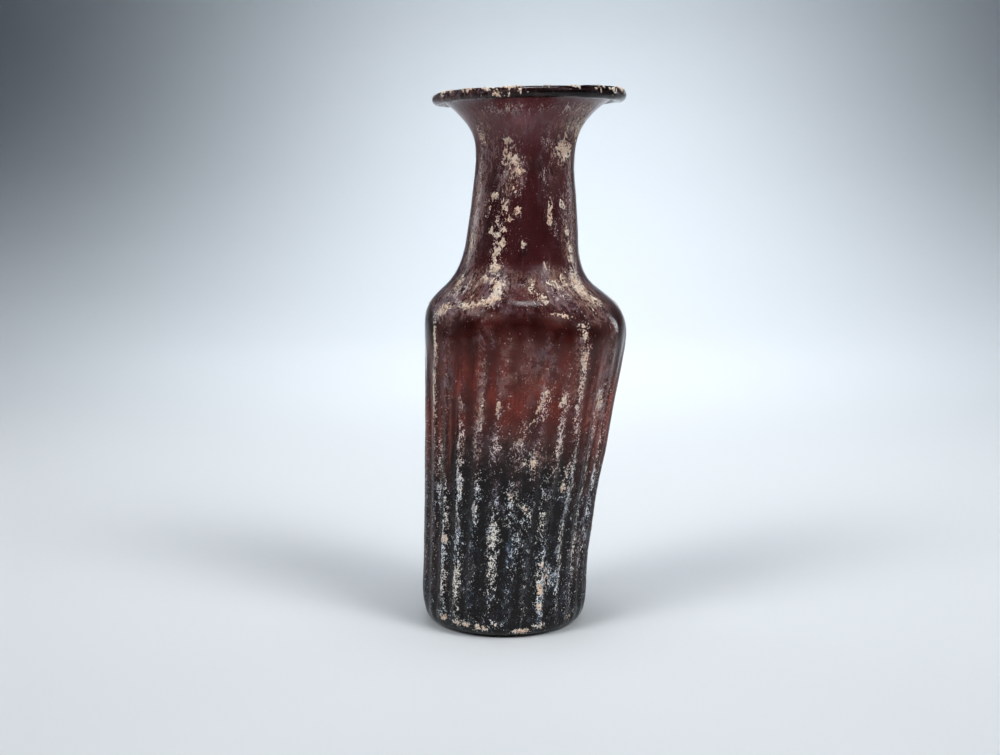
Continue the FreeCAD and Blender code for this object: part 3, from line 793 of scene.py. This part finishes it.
def make_crust(name, low, high, seed):
    """One region's crust, as thin ragged flakes on the wall."""
    first = share_at(low)
    last = share_at(high)
    sections = [outside_at(first + (last - first) * k / 40) for k in range(41)]
    length = sum(math.dist(a[:2], b[:2]) for a, b in zip(sections, sections[1:]))
    rows = int(length / CRUST_CELL)
    columns = int(2 * math.pi * max(section[1] for section in sections) / CRUST_CELL)
    offset = Vector((seed * 7.3, seed * 3.1, seed * 1.7))
    shares = [first + (last - first) * r / rows for r in range(rows + 1)]
    levels = [outside_at(share) for share in shares]
    field = {}
    for r in range(1, rows):
        height, radius, _ = levels[r]
        near = marks_at(DEPOSITS, height)
        for c in range(columns if near else 0):
            turn = c / columns * RIBS
            angle = rib_angle(turn, height)
            strength = strongest_near(near, math.degrees(angle), height, radius)
            if strength < 0.05:
                continue
            place = Vector((radius * math.cos(angle), radius * math.sin(angle), height * 0.75)) + offset
            flute = rib_drop(turn, height) / RIB_DEPTH
            value = crust_left(strength, place, 0.48, 0.42) - 0.22 * flute
            if value > 0:
                field[(r, c)] = value

    def pushed(r, c, depth):
        turn = c / columns * RIBS
        point = outside_point(turn, shares[r])
        above = levels[min(r + 1, rows)]
        below = levels[max(r - 1, 0)]
        rise, out = above[0] - below[0], above[1] - below[1]
        angle = rib_angle(turn, levels[r][0])
        steep = math.hypot(rise, out)
        normal = Vector((math.cos(angle) * rise / steep, math.sin(angle) * rise / steep, -out / steep))
        return point + normal * depth * MM

    def top_point(r, c):
        value = field.get((r, c), 0.0)
        lump = 0.7 + 0.6 * noise.noise(Vector((r * 0.31, c * 0.31, seed)))
        return pushed(r, c, CRUST_DEPTH * min(1.0, value / CRUST_FULL) ** 0.7 * lump + 0.01)

    def low_point(r, c):
        return pushed(r, c, -CRUST_SUNK)

    cells = crusted(field, range(1, rows - 1), columns)
    return flake_mesh(name + "_flakes", cells, top_point, low_point, columns)


def make_rim_crust():
    """The crust on the rim's coil."""
    rows, columns = 40, 720
    field = {}
    for c in range(columns):
        angle = 2 * math.pi * c / columns - math.pi
        degrees = math.degrees(angle)
        for r in range(rows):
            turn = 2 * math.pi * r / rows - math.pi
            strength = 0.0
            for at, half, side, power in RIM_DEPOSITS:
                u = ((degrees - at + 180) % 360 - 180) / half
                v = ((math.degrees(turn) - side + 180) % 360 - 180) / 42
                strength = max(strength, power * fading(u, v))
            if strength < 0.05:
                continue
            place = coil_point(angle, turn) / MM
            value = crust_left(strength, place, 0.45, 0.50)
            if value > 0:
                field[(r, c)] = value

    def pushed(r, c, depth):
        angle = 2 * math.pi * c / columns - math.pi
        turn = 2 * math.pi * r / rows - math.pi
        return coil_point(angle, turn) + coil_outward(angle, turn) * depth * MM

    def top_point(r, c):
        value = field.get((r, c), 0.0)
        return pushed(r, c, CRUST_DEPTH * min(1.0, value / CRUST_FULL) ** 0.7 + 0.01)

    def low_point(r, c):
        return pushed(r, c, -CRUST_SUNK)

    cells = crusted(field, range(rows - 1), columns)
    return flake_mesh("crust_rim_flakes", cells, top_point, low_point, columns)


# ---------------------------------------------------------------- materials
def material(name):
    """A new node material with one Principled shader."""
    made = bpy.data.materials.new(name)
    made.use_nodes = True
    return made, made.node_tree, made.node_tree.nodes["Principled BSDF"]


def node(tree, kind, **settings):
    """A new node with its properties set."""
    made = tree.nodes.new(kind)
    for name, value in settings.items():
        setattr(made, name, value)
    return made


def noise_at(tree, place, size, detail=6.0, roughness=0.6, distortion=0.0):
    """Noise whose lumps are about size metres across."""
    made = node(tree, "ShaderNodeTexNoise")
    made.inputs["Scale"].default_value = 1 / size
    made.inputs["Detail"].default_value = detail
    made.inputs["Roughness"].default_value = roughness
    made.inputs["Distortion"].default_value = distortion
    tree.links.new(place, made.inputs["Vector"])
    return made.outputs["Fac"]


def ramp(tree, value, low, high, to_low=0.0, to_high=1.0):
    """Value taken from low..high to to_low..to_high, smoothly and clamped."""
    made = node(tree, "ShaderNodeMapRange", interpolation_type="SMOOTHSTEP")
    for name, number in (("From Min", low), ("From Max", high), ("To Min", to_low), ("To Max", to_high)):
        made.inputs[name].default_value = number
    tree.links.new(value, made.inputs["Value"])
    return made.outputs["Result"]


def maths(tree, operation, first, second, clamp=False):
    """The result of one operation on two values, each a socket or a number."""
    made = node(tree, "ShaderNodeMath", operation=operation, use_clamp=clamp)
    for slot, value in enumerate((first, second)):
        if isinstance(value, (int, float)):
            made.inputs[slot].default_value = value
        else:
            tree.links.new(value, made.inputs[slot])
    return made.outputs[0]


def blend_colour(tree, share, first, second):
    """One colour laid over another by share; each is a socket or an RGB triple."""
    made = node(tree, "ShaderNodeMix", data_type="RGBA")
    tree.links.new(share, made.inputs["Factor"])
    for name, value in (("A", first), ("B", second)):
        socket = next(s for s in made.inputs if s.name == name and s.type == "RGBA")
        if isinstance(value, tuple):
            socket.default_value = (*value, 1)
        else:
            tree.links.new(value, socket)
    return next(s for s in made.outputs if s.type == "RGBA")


def squeezed(tree, place, squeeze):
    """A place with its height squeezed, so that a pattern on it runs up the wall."""
    made = node(tree, "ShaderNodeMapping")
    made.inputs["Scale"].default_value = (1, 1, squeeze)
    tree.links.new(place, made.inputs["Vector"])
    return made.outputs["Vector"]


def places(tree):
    """Where each point is on the object, in metres."""
    return node(tree, "ShaderNodeTexCoord").outputs["Object"]


def height_of(tree):
    """The height of a place, in metres."""
    split = node(tree, "ShaderNodeSeparateXYZ")
    tree.links.new(places(tree), split.inputs[0])
    return split.outputs["Z"]


def bump(tree, shader, value, distance, strength=1.0):
    """Relief on a shader's surface."""
    made = node(tree, "ShaderNodeBump")
    made.inputs["Distance"].default_value = distance
    made.inputs["Strength"].default_value = strength
    tree.links.new(value, made.inputs["Height"])
    tree.links.new(made.outputs["Normal"], shader.inputs["Normal"])


def shaded(tint, amounts):
    """A tint with each of its three parts scaled."""
    return tuple(amount * part for amount, part in zip(amounts, tint))


def glass_material(name, tint, density, colour, place_name=None):
    """Old glass: clear where it is clean, with a dull film, and specks of silvery weathering."""
    made, tree, shader = material(name)
    link = tree.links.new
    if place_name:
        place = node(tree, "ShaderNodeAttribute", attribute_name=place_name).outputs["Vector"]
    else:
        place = places(tree)
    height = height_of(tree)
    crest = node(tree, "ShaderNodeAttribute", attribute_name="crest").outputs["Fac"]
    bloom = node(tree, "ShaderNodeAttribute", attribute_name="bloom").outputs["Fac"]
    lower = ramp(tree, height, 0.050, 0.034)
    upper = ramp(tree, height, 0.070, 0.088)
    cloud = noise_at(tree, squeezed(tree, place, 0.5), 0.0050, 5, 0.6)
    fine = noise_at(tree, squeezed(tree, place, 0.6), 0.00075, 5, 0.75, 0.5)
    grain = noise_at(tree, squeezed(tree, place, 0.8), 0.00030, 2, 0.7)
    patch = noise_at(tree, squeezed(tree, place, 0.6), 0.0016, 6, 0.68, 0.4)
    tone = noise_at(tree, squeezed(tree, place, 0.6), 0.0045, 3, 0.6)
    mottle = noise_at(tree, squeezed(tree, place, 0.7), 0.0018, 8, 0.8, 0.3)
    haze = node(tree, "ShaderNodeAttribute", attribute_name="haze").outputs["Fac"]

    def times(first, second):
        return maths(tree, "MULTIPLY", first, second)

    def plus(first, second, clamp=False):
        return maths(tree, "ADD", first, second, clamp)

    # The film dulls the glass in clouds and on the crests, and lies in mottled patches low on the bottle.
    broken = ramp(tree, mottle, 0.42, 0.62)
    clouds = times(ramp(tree, cloud, 0.44, 0.66), plus(0.01, times(broken, 0.13)))
    clouds = plus(clouds, times(upper, 0.02))
    hazy = times(crest, times(broken, 0.12))
    hung = times(haze, plus(0.12, times(broken, 0.42)))
    mottled = ramp(tree, plus(patch, times(crest, 0.05)), 0.52, 0.60)
    mottled = times(mottled, plus(times(lower, 0.10), 0.04))
    film = plus(plus(clouds, hazy), plus(mottled, hung), True)
    # Specks gather along the streaks, on the crests, and low on the bottle.
    grit = plus(times(fine, 0.5), times(grain, 0.5))
    worn = times(bloom, ramp(tree, patch, 0.36, 0.60, 0.35, 1.1))
    level = times(worn, 0.120)
    for share, amount in ((haze, 0.045), (crest, 0.030), (lower, 0.022)):
        level = plus(level, times(share, amount))
    dust = times(ramp(tree, plus(grit, level), 0.630, 0.655), 0.92)

    # The specks' colours are their own silvery weathering, with the frost lifted to near white as painted
    # glints.
    cream = blend_colour(tree, ramp(tree, tone, 0.40, 0.62), (0.89, 0.81, 0.77), (0.92, 0.79, 0.69))
    frost_and_glint = blend_colour(tree, ramp(tree, tone, 0.42, 0.60), (0.90, 0.94, 0.98), (0.95, 0.90, 0.83))
    silver_and_glint = blend_colour(tree, lower, cream, frost_and_glint)
    mauve = blend_colour(tree, ramp(tree, tone, 0.35, 0.65), (0.36, 0.25, 0.30), (0.44, 0.26, 0.22))
    slate = blend_colour(tree, ramp(tree, tone, 0.38, 0.62), (0.25, 0.31, 0.44), (0.37, 0.35, 0.36))
    filmed = blend_colour(tree, ramp(tree, height, 0.042, 0.026), mauve, slate)
    # Clean glass: lighter on the rib crests as a painted highlight and darker in the flutes as painted
    # shade, more purple above the shoulder, with a painted glow of light through the upper body, and
    # almost black over the residue.
    clear = blend_colour(tree, crest, shaded(tint, (0.56,) * 3), shaded(tint, (1.34,) * 3))
    clear = blend_colour(tree, times(upper, 0.8), clear, shaded(tint, (0.80, 0.90, 1.18)))
    # Painted glow: the tint is lifted where light from behind shines through the upper body.
    painted_glow = times(ramp(tree, height, 0.040, 0.052), ramp(tree, height, 0.076, 0.058))
    painted_glow = times(painted_glow, ramp(tree, cloud, 0.60, 0.42))
    clear = blend_colour(tree, painted_glow, clear, shaded(tint, (1.30, 1.34, 1.25)))
    clear = blend_colour(tree, lower, clear, (0.030, 0.008, 0.010))
    surface = blend_colour(tree, ramp(tree, film, 0.02, 0.26), clear, filmed)
    surface = blend_colour(tree, dust, surface, silver_and_glint)
    link(surface, shader.inputs["Base Color"])
    covered = maths(tree, "MAXIMUM", film, dust)
    link(maths(tree, "SUBTRACT", 1.0, covered), shader.inputs["Transmission Weight"])
    roughness = plus(plus(times(film, 0.8), 0.06), times(dust, 0.55), True)
    link(roughness, shader.inputs["Roughness"])
    shader.inputs["IOR"].default_value = 1.45
    shader.inputs["Specular IOR Level"].default_value = 0.24
    bump(tree, shader, plus(times(dust, 0.6), times(grain, 0.2)), 0.00010, 0.8)

    depth = node(tree, "ShaderNodeVolumeAbsorption")
    depth.inputs["Color"].default_value = (*colour, 1)
    depth.inputs["Density"].default_value = density
    link(depth.outputs[0], tree.nodes["Material Output"].inputs["Volume"])
    return made


def crust_material():
    """Pale chalky crust, with brown dirt in its hollows."""
    made, tree, shader = material("burial_crust")
    link = tree.links.new
    tone = noise_at(tree, places(tree), 0.0035, 4, 0.6)
    grain = noise_at(tree, places(tree), 0.0005, 6, 0.7)
    pale = blend_colour(tree, ramp(tree, tone, 0.38, 0.64), (0.80, 0.61, 0.49), (0.88, 0.79, 0.70))
    dirty = blend_colour(tree, ramp(tree, grain, 0.52, 0.36), pale, (0.24, 0.16, 0.11))
    link(dirty, shader.inputs["Base Color"])
    shader.inputs["Roughness"].default_value = 0.9
    shader.inputs["Specular IOR Level"].default_value = 0.25
    bump(tree, shader, grain, 0.00015, 0.9)
    return made


def residue_material():
    """Black, dry, crazed residue."""
    made, tree, shader = material("dark_residue")
    tone = noise_at(tree, places(tree), 0.004, 5, 0.6)
    colour = blend_colour(tree, ramp(tree, tone, 0.4, 0.65), (0.012, 0.008, 0.010), (0.052, 0.024, 0.024))
    tree.links.new(colour, shader.inputs["Base Color"])
    shader.inputs["Roughness"].default_value = 0.85
    bump(tree, shader, noise_at(tree, places(tree), 0.0012, 6, 0.7), 0.0002, 0.9)
    return made


# ---------------------------------------------------------------- the stage
def make_stage():
    """A pale floor that sweeps up into a wall all round."""
    floor_reach, bend, top = 0.50, 0.95, 1.6
    steps = 12
    profile = [(floor_reach * k / steps, 0.0) for k in range(1, steps + 1)]
    for k in range(1, steps + 1):
        turn = math.pi / 2 * k / steps
        profile.append((floor_reach + bend * math.sin(turn), bend * (1 - math.cos(turn))))
    profile.append((floor_reach + bend, top))
    columns = 96
    rows = [
        [Vector((r * math.cos(2 * math.pi * c / columns), r * math.sin(2 * math.pi * c / columns), z))
         for c in range(columns)]
        for r, z in profile
    ]
    verts = [point for row in rows for point in row] + [Vector((0, 0, 0))]
    faces = [(len(verts) - 1, c, (c + 1) % columns) for c in range(columns)]
    for r in range(len(rows) - 1):
        for c in range(columns):
            d = (c + 1) % columns
            faces.append((r * columns + c, (r + 1) * columns + c, (r + 1) * columns + d, r * columns + d))
    stage = new_object("sweep", verts, faces)
    made, _, shader = material("sweep_paper")
    shader.inputs["Base Color"].default_value = (0.78, 0.815, 0.85, 1)
    shader.inputs["Roughness"].default_value = 0.6
    shader.inputs["Specular IOR Level"].default_value = 0.2
    stage.data.materials.append(made)
    return stage


def area_light(name, place, target, size, power, colour, spread=180.0):
    """A soft square light that faces a point; a smaller spread gathers it into a pool."""
    data = bpy.data.lights.new(name, "AREA")
    data.energy = power
    data.size = size
    data.color = colour
    data.spread = math.radians(spread)
    lamp = bpy.data.objects.new(name, data)
    lamp.location = place
    lamp.rotation_euler = (Vector(target) - Vector(place)).to_track_quat("-Z", "Y").to_euler()
    lamp.visible_camera = False
    bpy.context.scene.collection.objects.link(lamp)
    return lamp


def make_light():
    """Soft studio light: pools on the floor and on the sweep behind, dim washes round the rest of the
    sweep, a wide key from each side in front, and a thin strip from each side behind."""
    world = bpy.data.worlds.new("studio")
    bpy.context.scene.world = world
    world.use_nodes = True
    world.node_tree.nodes["Background"].inputs["Color"].default_value = (0.72, 0.82, 0.95, 1)
    world.node_tree.nodes["Background"].inputs["Strength"].default_value = 0.05
    cool, warm = (0.93, 0.97, 1.0), (1.0, 0.99, 0.97)
    area_light("pool", (0.04, 0.00, 0.80), (0.03, 0.02, 0), 0.30, 0.16, cool, 50)
    area_light("pool_behind", (0.05, 0.42, 0.90), (0.05, 0.62, 0), 0.45, 1.10, cool, 62)
    area_light("wash", (0.05, 0.60, 0.62), (0.06, 1.40, 0.02), 0.50, 0.74, cool, 70)
    for name, x, y in (("wash_front", 0, -1), ("wash_left", -1, 0), ("wash_right", 1, 0)):
        area_light(name, (0.60 * x, 0.60 * y, 0.62), (1.40 * x, 1.40 * y, 0.02), 0.50, 0.26, cool, 78)
    for name, x, power in (("key_left", -0.50, 0.68), ("key_right", 0.50, 0.80)):
        key = area_light(name, (x, -0.45, 0.62), (0, 0, 0.06), 0.75, power, warm, 36)
        key.visible_glossy = False
    for name, x in (("edge_left", -0.62), ("edge_right", 0.62)):
        strip = area_light(name, (x, 0.42, 0.22), (0, 0, 0.09), 0.03, 0.018, cool, 40)
        strip.data.shape = "RECTANGLE"
        strip.data.size_y = 0.36


def make_look():
    """Plain display colours."""
    settings = bpy.context.scene.view_settings
    settings.view_transform = "Standard"
    settings.look = "Medium High Contrast"


def make_camera():
    """The camera, a little above the shoulder and looking slightly down."""
    data = bpy.data.cameras.new("camera")
    data.lens = 52.1
    data.sensor_width = 36.0
    camera = bpy.data.objects.new("camera", data)
    camera.location = (-0.0058, -0.3552, 0.107)
    camera.rotation_euler = (math.radians(90 - 7.4), 0, 0)
    bpy.context.scene.collection.objects.link(camera)
    bpy.context.scene.camera = camera


def dressed(piece, finish, node_name):
    """A piece with its material, standing in for a CAD node, which is hidden."""
    piece.data.materials.append(finish)
    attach(piece, "root")
    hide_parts(node_name)


purple = glass_material("purple_glass_old", (0.43, 0.183, 0.16), 220.0, (0.62, 0.20, 0.06), "straight")
dark = glass_material("dark_glass_old", (0.16, 0.08, 0.07), 500.0, (0.50, 0.20, 0.10))
chalk = crust_material()
dressed(make_wall(), purple, "bottle_body")
dressed(make_coil(), dark, "rim_coil")
dressed(make_scar(), dark, "pontil_scar")
dressed(make_residue(), residue_material(), "residue_lining")
for seed, (region, low, high) in enumerate(CRUST_REGIONS, 1):
    dressed(make_crust(region, low, high, seed), chalk, region)
dressed(make_rim_crust(), chalk, "crust_rim")

make_stage()
make_light()
make_camera()
make_look()

bpy.context.view_layer.update()
